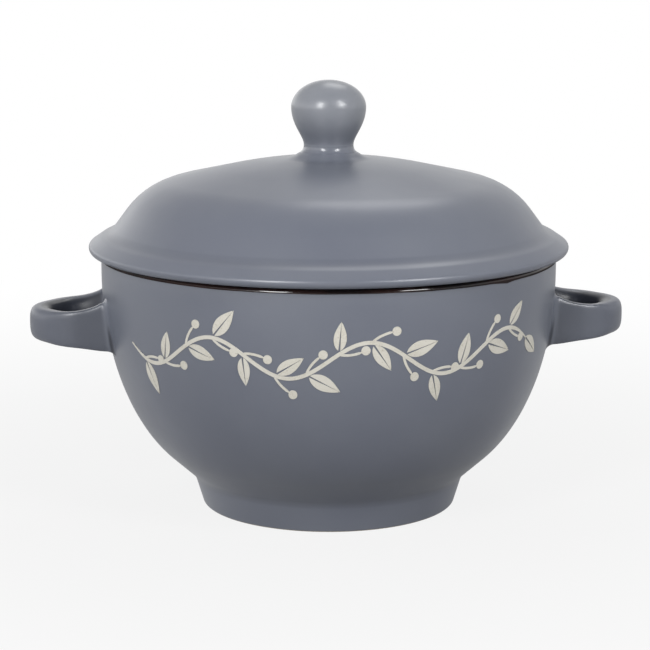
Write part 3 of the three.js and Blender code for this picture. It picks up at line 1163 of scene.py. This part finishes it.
@dataclass(frozen=True)
class Lid:
    """Domed lid with its flange, the ring that locates it, its dark lining and its knob."""

    finishes: Finishes
    bowl: Bowl
    radius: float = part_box("lid_shell")[1].x
    top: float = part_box("lid_shell")[1].z
    seat_gap: float = 0.0002
    wall: float = 0.005
    crown_lift: float = 0.0004
    crown_radius: float = 0.150
    crown_slope: float = 12.5
    shoulder_round: float = 0.024
    side_slope: float = 53.5
    waist_round: float = 0.0065
    flange_width: float = 0.0067
    flange_slope: float = 21.0
    flange_bend: float = 0.0036
    flange_bend_round: float = 0.005
    flange_fall: float = 34.2
    flange_edge: float = 0.0023
    flange_top_round: float = 0.0012
    flange_under_round: float = 0.0016
    edge_thinned: float = 0.1
    throat_round: float = 0.006
    ring_clearance: float = 0.0012
    ring_thickness: float = 0.0038
    ring_bottom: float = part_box("lid_locating_ring")[0].z
    ring_round: float = 0.0014
    ring_slip: float = 0.0008
    knob_top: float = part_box("lid_knob")[1].z
    knob_radius: float = 0.01125
    knob_cap: float = 0.0081
    # painted light: shares of lightening at the widest and at the neck, standing in for the stronger light on
    # the knob
    knob_painted_light: float = 0.7
    neck_painted_light: float = 0.35
    knob_gloss: float = 0.49
    knob_ease: float = 0.0055
    neck_radius: float = 0.0075
    neck_height: float = 0.0038
    neck_upright: float = 0.0003
    neck_round: float = 0.0025
    neck_ease: float = 0.0025
    fold_drop: float = 0.0008
    skirt_turn: float = 62.0
    skirt_lead: float = 0.0015
    skirt_radius: float = 0.0135
    skirt_ease: float = 0.0028

    @property
    def seat(self) -> float:
        """Height of the face that rests on the rim."""
        return self.bowl.height + self.seat_gap

    @property
    def ring_outer(self) -> float:
        """Outside of the locating ring."""
        return self.bowl.mouth_radius - self.ring_clearance

    @property
    def ring_inner(self) -> float:
        """Inside of the locating ring."""
        return self.ring_outer - self.ring_thickness

    @property
    def flange_corner(self) -> Vector:
        """Where the flange's top meets its edge."""
        return Vector((self.radius, self.seat + self.flange_edge))

    @property
    def flange_crest(self) -> Vector:
        """Where the flange's top turns down to its edge."""
        return self.flange_corner + heading(180 - self.flange_fall) * (
            self.flange_bend / math.cos(math.radians(self.flange_fall)))

    @property
    def waist(self) -> Vector:
        """Where the dome's side meets the flange's top."""
        run = self.flange_width - self.flange_bend
        return self.flange_crest + heading(180 - self.flange_slope) * (
            run / math.cos(math.radians(self.flange_slope)))

    @property
    def crown_centre(self) -> Vector:
        """Centre of the crown's curve."""
        return Vector((0, self.top + self.crown_lift - self.crown_radius))

    def crown_height(self, radius: float) -> float:
        """Height of the crown at a radius."""
        return self.crown_centre.y + math.sqrt(self.crown_radius ** 2 - radius ** 2)

    def dome(self, depth: float) -> tuple[list[Vector], Vector, Vector]:
        """Crown at a depth under the lid's outside.

        Args:
            depth: how far under the outside.

        Returns:
            The crown's arc, the corner where it turns down the side, and a point on the side.
        """
        radius = self.crown_radius - depth
        arc = ellipse(self.crown_centre, radius, radius, 90, 90 - self.crown_slope)
        arc[0].x = 0
        for place in arc:
            place.y = min(place.y, self.top - depth)
        side_point = self.waist - heading(90 - self.side_slope) * depth
        shoulder = meet(arc[-1], heading(-self.crown_slope), side_point, heading(-self.side_slope))
        return arc, shoulder, side_point

    def hollow(self, depth: float) -> list[Vector]:
        """Outline of the lid's hollow.

        Args:
            depth: how far under the lid's outside.

        Returns:
            The outline's points, from the axis down to the throat.
        """
        arc, shoulder, side_point = self.dome(depth)
        throat_radius = self.ring_inner + self.wall - depth
        throat = meet(side_point, heading(-self.side_slope), Vector((throat_radius, self.seat)), heading(90))
        return [
            *arc[:-1],
            *rounded([
                (arc[-1].x, arc[-1].y, 0),
                (shoulder.x, shoulder.y, self.shoulder_round - depth),
                (throat.x, throat.y, self.throat_round),
                (throat_radius, self.seat, 0),
            ]),
        ]

    def shell(self) -> Piece:
        """Turn the domed shell, whose seat is wiped bare where it meets the rim.

        Returns:
            The finished shell.
        """
        arc, shoulder, _ = self.dome(0.0)
        outline = [
            *self.hollow(self.wall - self.bowl.glaze),
            *rounded([
                (self.bowl.rim_radius - self.bowl.rim_round, self.seat, 0),
                (self.bowl.rim_radius, self.seat, 0),
                (self.radius, self.seat, self.flange_under_round),
                (self.flange_corner.x, self.flange_corner.y, self.flange_top_round),
                (self.flange_crest.x, self.flange_crest.y, self.flange_bend_round),
                (self.waist.x, self.waist.y, self.waist_round),
                (shoulder.x, shoulder.y, self.shoulder_round),
                (arc[-1].x, arc[-1].y, 0),
            ]),
            *arc[::-1][1:],
        ]
        piece = turned("lid_shell_glazed", outline)
        paint(piece, "pooling", pooling(outline, self.edge_thinned))

        def wiped(place: Vector) -> float:
            """Whether a point is bare clay, as the seat is from the ring out to where it meets the rim.

            Args:
                place: a point of the shell.

            Returns:
                1 if it is bare, else 0.
            """
            level = abs(place.z - self.seat) < LEVEL
            inside = math.hypot(place.x, place.y) < self.bowl.rim_radius - self.bowl.rim_round + MERGE
            return 1.0 if level and inside else 0.0

        paint(piece, "bare_clay", wiped)
        return settle(piece, self.finishes, Slot.SATIN, "lid", "lid_shell")

    def ring(self) -> Piece:
        """Turn the locating ring, with slip smoothed into the corner under the seat.

        Returns:
            The finished ring.
        """
        top = self.seat + LUTED
        outline = rounded([
            (self.ring_inner, top, 0),
            (self.ring_inner, self.ring_bottom, self.ring_round),
            (self.ring_outer, self.ring_bottom, self.ring_round),
            (self.ring_outer, self.seat, self.ring_slip),
            (self.ring_outer + 2 * self.ring_slip, self.seat, 0),
            (self.ring_outer + 2 * self.ring_slip, top, 0),
            (self.ring_inner, top, 0),
        ])
        piece = turned("lid_ring_glazed", outline)
        paint(piece, "pooling", pooling(outline))
        return settle(piece, self.finishes, Slot.SATIN, "lid", "lid_locating_ring")

    def lining(self) -> Piece:
        """Turn the dark glaze of the lid's hollow.

        Returns:
            The finished lining.
        """
        outline = [*self.hollow(self.wall), *self.hollow(self.wall - self.bowl.glaze)[::-1]]
        piece = turned("lid_lining_glaze", outline)
        return settle(piece, self.finishes, Slot.GLOSS, "lid", "lid_glaze_lining")

    def knob(self) -> Piece:
        """Turn the ball knob, its neck spread onto the crown.

        Returns:
            The finished knob.
        """
        neck = self.top + self.neck_height
        widest = self.knob_top - self.knob_cap
        bend = Vector((self.neck_radius + self.neck_round, neck))
        hollow = ellipse(bend, self.neck_round, self.neck_round, 180 + self.skirt_turn, 180)
        edge = Vector((self.skirt_radius, self.crown_height(self.skirt_radius)))
        along_crown = math.degrees(math.asin(self.skirt_radius / self.crown_radius))
        skirt = bezier(
            edge,
            edge + heading(180 - along_crown) * self.skirt_ease,
            hollow[0] + heading(self.skirt_turn - 90) * self.skirt_lead,
            hollow[0],
        )
        upright = Vector((self.neck_radius, neck + self.neck_upright))
        waist = bezier(
            upright,
            upright + heading(90) * self.neck_ease,
            Vector((self.knob_radius, widest - self.knob_ease)),
            Vector((self.knob_radius, widest)),
        )
        cap = ellipse(Vector((0, widest)), self.knob_radius, self.knob_cap, 0, 90)
        cap[-1].x = 0
        buried = edge - Vector((0, LUTED))
        outline = [Vector((0, buried.y)), buried, *skirt, *hollow[1:], *waist, *cap[1:]]
        piece = turned("lid_knob_glazed", outline)
        gathered = pooling(outline)

        def thin_and_painted_light(place: Vector) -> float:
            """Glaze thin on the knob's edges, and painted light that lightens the knob from its skirt up to
            its widest.

            Args:
                place: a point of the knob.

            Returns:
                0 at the skirt, and further below 0 the lighter the knob is painted.
            """
            # painted light, rising with height: the knob's top is painted lit and its lower part painted in
            # shade
            at_neck = self.neck_painted_light * ramp(place.z, edge.y, neck)
            above = (self.knob_painted_light - self.neck_painted_light) * ramp(place.z, neck, widest)
            return min(gathered(place), 0.0) - at_neck - above

        def wet(place: Vector) -> float:
            """The fold under the neck is glossy, where the glaze ran together, and the knob a little."""
            in_fold = 1 - ramp(abs(place.z - (neck - self.fold_drop)), self.fold_drop, 2 * self.fold_drop)
            return max(in_fold, self.knob_gloss * ramp(place.z, neck, widest))

        # the pooling attribute of the knob holds thin glaze on edges and painted light
        paint(piece, "pooling", thin_and_painted_light)
        paint(piece, "wet_glaze", wet)
        return settle(piece, self.finishes, Slot.SATIN, "lid", "lid_knob")


def drawn_way(angle: float) -> Vector:
    """Direction in the flat drawing of the vine, by an angle in radians."""
    return Vector((math.cos(angle), math.sin(angle), 0))


def crossways(way: Vector) -> Vector:
    """Direction in the flat drawing that lies to the left of another."""
    return Vector((-way.y, way.x, 0))


@dataclass(frozen=True)
class SlipVine:
    """Trailing vine of cream slip: a waving stem with leaves in two halves and berries on short stalks."""

    finishes: Finishes
    bowl: Bowl
    facing: float = -4.7
    half_length: float = 0.068
    middle: float = 0.0575
    wave: float = 0.046
    swing: float = 0.0052
    stem: float = 0.0011
    stalk: float = 0.0007
    leaf_pitch: float = 0.0092
    leaf_length: float = 0.0098
    leaf_width: float = 0.0046
    leaf_angle: float = 52.0
    leaf_belly: float = 0.8
    leaf_fullness: float = 0.9
    leaf_steps: int = 14
    first_leaf: float = 0.7
    leaf_shrink: float = 0.08
    rib: float = 0.00028
    berry: float = 0.0013
    berry_seat: float = 0.7
    berry_sides: int = 20
    berry_stalk: float = 0.0062
    stalk_angle: float = 46.8
    stalk_bow: float = 3.0
    stroke_step: float = 0.0009
    least_steps: int = 8
    stroke_tip: float = 0.35
    stroke_taper: float = 12.0
    thickness: float = 0.0004
    proud: float = 0.00014

    def stem_place(self, along: float) -> Vector:
        """Place of the stem's middle in the flat drawing, at a distance along it."""
        return Vector((along, self.swing * math.sin(math.tau * along / self.wave), 0))

    def stem_course(self, along: float) -> float:
        """Direction of the stem, measured over a short step.

        Args:
            along: distance along the stem.

        Returns:
            The direction in the flat drawing, in radians.
        """
        step = self.wave / 1000
        way = (self.stem_place(along + step) - self.stem_place(along - step)).normalized()
        return math.atan2(way.y, way.x)

    def strip(self, steps: int, place: Callable[[float, float], Vector]) -> Piece:
        """Draw one flat strip.

        Args:
            steps: faces along the strip.
            place: gives a place from the shares along and across the strip.

        Returns:
            The flat strip.
        """
        start_clean()
        bpy.ops.mesh.primitive_grid_add(x_subdivisions=steps, y_subdivisions=2, size=1)
        piece = new_piece("vine_stroke")
        reshape(piece, lambda flat: place(flat.x + 0.5, flat.y + 0.5))
        return piece

    def stroke(self, start: float, end: float, width: float, line: Callable[[float], Vector]) -> Piece:
        """Draw a brush stroke of even width with tapered ends along a line.

        Args:
            start: where it begins along the line.
            end: where it ends.
            width: its width.
            line: the line's place at a distance along it.

        Returns:
            The flat stroke.
        """
        nudge = (end - start) / 1000

        def place(along: float, across: float) -> Vector:
            """Point of the stroke.

            Args:
                along: share of its length.
                across: share of its width.

            Returns:
                The point.
            """
            spot = mix(start, end, along)
            way = (line(spot + nudge) - line(spot - nudge)).normalized()
            taper = min(1.0, self.stroke_tip + self.stroke_taper * min(along, 1 - along))
            return line(spot) + crossways(way) * (width * taper * (across - 0.5))

        return self.strip(max(self.least_steps, int(abs(end - start) / self.stroke_step)), place)

    def leaf(self, base: Vector, angle: float, length: float) -> list[Piece]:
        """Draw one leaf as two halves, parted by its rib.

        Args:
            base: where the leaf leaves the stem.
            angle: its direction, in radians.
            length: from base to tip.

        Returns:
            The two flat halves.
        """
        way = drawn_way(angle)
        out = crossways(way)
        width = self.leaf_width * length / self.leaf_length
        halves = []
        for hand in (1, -1):
            def place(along: float, across: float, hand: int = hand) -> Vector:
                """Point of one half of the leaf.

                Args:
                    along: share of its length.
                    across: share of the half's width, from the rib out.
                    hand: side of the rib.

                Returns:
                    The point.
                """
                inner = self.rib * (1 - along)
                swell = math.sin(math.pi * along ** self.leaf_belly) ** self.leaf_fullness
                outer = inner + (width / 2 - self.rib) * swell
                return base + way * (length * along) + out * (hand * mix(inner, outer, across))

            halves.append(self.strip(self.leaf_steps, place))
        return halves

    def dot(self, centre: Vector) -> Piece:
        """Draw one berry.

        Args:
            centre: its middle.

        Returns:
            The flat berry.
        """
        start_clean()
        bpy.ops.mesh.primitive_circle_add(
            vertices=self.berry_sides, radius=self.berry, fill_type="TRIFAN", location=(0, 0, 0))
        piece = new_piece("vine_stroke")
        reshape(piece, lambda flat: flat + centre)
        return piece

    def strokes(self) -> list[Piece]:
        """Draw the whole vine flat: distance round the wall along x, height above its middle along y.

        Returns:
            The vine's strokes, leaves and berries.
        """
        lean, spread = math.radians(self.leaf_angle), math.radians(self.stalk_angle)
        pieces = [self.stroke(-self.half_length, self.half_length, self.stem, self.stem_place)]
        count = int(2 * self.half_length / self.leaf_pitch)
        for k in range(count):
            along = -self.half_length + (k + self.first_leaf) * self.leaf_pitch
            hand = 1 if k % 2 else -1
            base = self.stem_place(along)
            course = self.stem_course(along)
            size = self.leaf_length * (1 - self.leaf_shrink * (k * 5 % 3))
            leaf_course = course + hand * lean
            pieces += self.leaf(base + drawn_way(leaf_course) * self.stem, leaf_course, size)
            reach = drawn_way(course - hand * spread)
            bow = crossways(reach) * hand

            def line(spot: float, base: Vector = base, reach: Vector = reach, bow: Vector = bow) -> Vector:
                """Bowed line of a berry's stalk."""
                return base + reach * spot + bow * (spot * spot / (self.stalk_bow * self.berry_stalk))

            pieces.append(self.stroke(0.0, self.berry_stalk, self.stalk, line))
            pieces.append(self.dot(line(self.berry_stalk + self.berry * self.berry_seat)))
        end = self.half_length
        pieces += self.leaf(self.stem_place(end), self.stem_course(end), self.leaf_length)
        return pieces

    def build(self, face: Face) -> Piece:
        """Paint the vine on one face of the bowl.

        Args:
            face: which face.

        Returns:
            The finished vine, wrapped onto the wall.
        """
        pieces = self.strokes()
        start_clean()
        for piece in pieces:
            piece.select_set(True)
        bpy.context.view_layer.objects.active = pieces[0]
        bpy.ops.object.join()
        vine = new_piece(f"slip_vine_{face.name.lower()}")
        close_mesh(vine)
        apply_modifier(vine, "SOLIDIFY", thickness=self.thickness, offset=0.0)
        turn = math.radians(self.facing + face.value)

        def wrap(flat: Vector) -> Vector:
            """Lay the flat drawing on the wall.

            Args:
                flat: a point of the drawing.

            Returns:
                Its place on the wall.
            """
            height = self.middle + flat.y
            azimuth = turn + flat.x / self.bowl.rim_radius
            return self.bowl.on_wall(azimuth, height, flat.z + self.proud - self.thickness / 2)

        reshape(vine, wrap)
        close_mesh(vine)
        smooth(vine)
        return settle(vine, self.finishes, Slot.SLIP, "bowl")


@dataclass(frozen=True)
class Softbox:
    """One soft lamp, placed by its bearing from the bowl, with its power in watts."""

    name: str
    azimuth: float
    elevation: float
    power: float
    distance: float = 0.8
    width: float = 0.18
    height: float = 0.42


@dataclass(frozen=True)
class Studio:
    """White sweep, soft lamps and the camera at the photograph's angle."""

    camera_distance: float = 0.640
    camera_azimuth: float = -4.7
    camera_height: float = 0.1792
    aim_height: float = 0.0545
    aim_left: float = 0.0011
    lens: float = 118.0
    view_reach: float = 100.0
    floor_size: float = 14.0
    floor_tone: float = 0.36
    floor_white: float = 0.85
    shadow_start: float = 0.05
    shadow_reach: float = 0.42
    floor_glow: float = 0.62
    glow_start: float = -0.02
    glow_end: float = 0.06
    left_white: float = 1.8
    left_end: float = -0.7
    right_white: float = 0.85
    right_end: float = 0.8
    wall_top: float = 0.1
    ceiling: float = 0.55
    ceiling_start: float = 0.6
    dark_front: float = 0.05
    dark_edge: float = 0.45
    dark_full: float = 0.85
    dark_turn: float = 14.0
    dark_rise: float = 40.0
    lamp_aim: float = 0.1
    lamps: tuple[Softbox, ...] = (
        Softbox("left_softbox", azimuth=-31.0, elevation=24.0, power=4.5),
        Softbox("right_softbox", azimuth=37.0, elevation=27.0, power=4.4),
        Softbox("back_softbox", azimuth=164.0, elevation=52.0, power=1.3, distance=1.0,
                width=0.4, height=0.4),
    )

    def camera(self) -> None:
        """Set the camera where the photograph was taken from."""
        place = bearing(self.camera_azimuth, 0) * self.camera_distance
        place.z = self.camera_height
        aim = bearing(self.camera_azimuth - 90, 0) * self.aim_left
        aim.z = self.aim_height
        start_clean()
        bpy.ops.object.camera_add(location=place)
        camera = bpy.context.object
        camera.name = "photo_camera"
        camera.rotation_mode = "QUATERNION"
        camera.rotation_quaternion = (aim - place).to_track_quat("-Z", "Y")
        camera.data.lens = self.lens
        camera.data.clip_end = self.view_reach
        bpy.context.scene.camera = camera

    def light(self) -> None:
        """Hang the lamps, turned to the lid."""
        aim = Vector((0, 0, self.lamp_aim))
        for lamp in self.lamps:
            way = bearing(lamp.azimuth, lamp.elevation)
            start_clean()
            bpy.ops.object.light_add(type="AREA", location=aim + way * lamp.distance)
            light = bpy.context.object
            light.name = lamp.name
            light.rotation_mode = "QUATERNION"
            light.rotation_quaternion = (-way).to_track_quat("-Z", "Y")
            light.data.shape = "RECTANGLE"
            light.data.size = lamp.width
            light.data.size_y = lamp.height
            light.data.energy = lamp.power

    def seen(self, graph: Graph) -> Socket:
        """1 where the camera looks, and 0 for light on the object."""
        return graph.add("ShaderNodeLightPath").outputs["Is Camera Ray"]

    def surround(self) -> None:
        """Put white walls behind and beside the bowl, and a dim room before it."""
        world = bpy.data.worlds.new("white_room")
        world.use_nodes = True
        bpy.context.scene.world = world
        graph = Graph(world.node_tree)
        background = world.node_tree.nodes["Background"]
        background.inputs["Color"].default_value = (1, 1, 1, 1)
        way = graph.add("ShaderNodeTexCoord").outputs["Generated"]
        axes = graph.add("ShaderNodeSeparateXYZ", {0: way}).outputs
        low = graph.span(axes["X"], self.left_end, self.right_end, self.left_white, self.right_white)
        wall = graph.span(axes["Z"], self.wall_top, self.ceiling_start, low, self.ceiling)
        facing = self.towards_front(graph, way, self.dark_rise)
        wall = graph.span(facing, self.dark_edge, self.dark_full, wall, self.dark_front)
        graph.link(graph.span(self.seen(graph), 0.0, 1.0, wall, 1.0), background.inputs["Strength"])

    def towards_front(self, graph: Graph, place: Socket, rise: float) -> Socket:
        """How far a place lies towards the dim room.

        Args:
            graph: the node tree to work in.
            place: the place or direction.
            rise: how steeply the dim room is looked up at.

        Returns:
            Distance along the way to the dim room.
        """
        front = bearing(self.camera_azimuth + self.dark_turn, rise)
        node = graph.add("ShaderNodeVectorMath", {0: place, 1: front}, operation="DOT_PRODUCT")
        return node.outputs["Value"]

    def floor(self) -> None:
        """Lay the pale floor, which is white away from the bowl's shadow."""
        start_clean()
        bpy.ops.mesh.primitive_plane_add(size=self.floor_size, location=(0, 0, 0))
        floor = new_piece("white_floor")
        material = bpy.data.materials.new("white_floor")
        material.use_nodes = True
        graph = Graph(material.node_tree)
        material.node_tree.nodes.remove(material.node_tree.nodes["Principled BSDF"])
        tone = (self.floor_tone, self.floor_tone, self.floor_tone, 1.0)
        matt = graph.add("ShaderNodeBsdfDiffuse", {"Color": tone})
        seen = self.seen(graph)
        glow = graph.span(seen, 0.0, 1.0, self.floor_glow, 1.0)
        white = graph.add("ShaderNodeEmission", {"Color": (1, 1, 1, 1), "Strength": glow})
        place = graph.add("ShaderNodeTexCoord").outputs["Object"]
        distance = graph.add("ShaderNodeVectorMath", {0: place}, operation="LENGTH").outputs["Value"]
        away = graph.span(distance, self.shadow_start, self.shadow_reach, self.floor_white, 1.0)
        front = self.towards_front(graph, place, 0.0)
        behind = graph.span(front, self.glow_start, self.glow_end, 1.0, 0.0)
        share = graph.add("ShaderNodeMix", {0: seen, 2: behind, 3: away}).outputs[0]
        both = graph.add("ShaderNodeMixShader", {0: share, 1: matt.outputs[0], 2: white.outputs[0]})
        graph.link(both.outputs[0], material.node_tree.nodes["Material Output"].inputs["Surface"])
        floor.data.materials.append(material)

    def build(self) -> None:
        """Set up the whole studio."""
        self.camera()
        self.light()
        self.surround()
        self.floor()
        bpy.context.scene.view_settings.view_transform = "Standard"


def main() -> None:
    """Build the studio and every piece of the lidded bowl."""
    logging.basicConfig(level=logging.INFO, format="%(name)s: %(message)s")
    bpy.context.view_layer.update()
    Studio().build()
    groups = Groups(kiln_clouds(), fired_specks())
    finishes = {
        Slot.SATIN: SatinGlaze(groups).material(),
        Slot.GLOSS: GlossGlaze(groups).material(),
        Slot.SLIP: CreamSlip(groups).material(),
    }
    bowl = Bowl(finishes)
    bowl.body()
    bowl.lining()
    handle = StrapHandle(finishes, bowl)
    for side in Side:
        handle.build(side)
    lid = Lid(finishes, bowl)
    lid.shell()
    lid.ring()
    lid.lining()
    lid.knob()
    vine = SlipVine(finishes, bowl)
    for face in Face:
        vine.build(face)


if __name__ == "__main__":
    main()
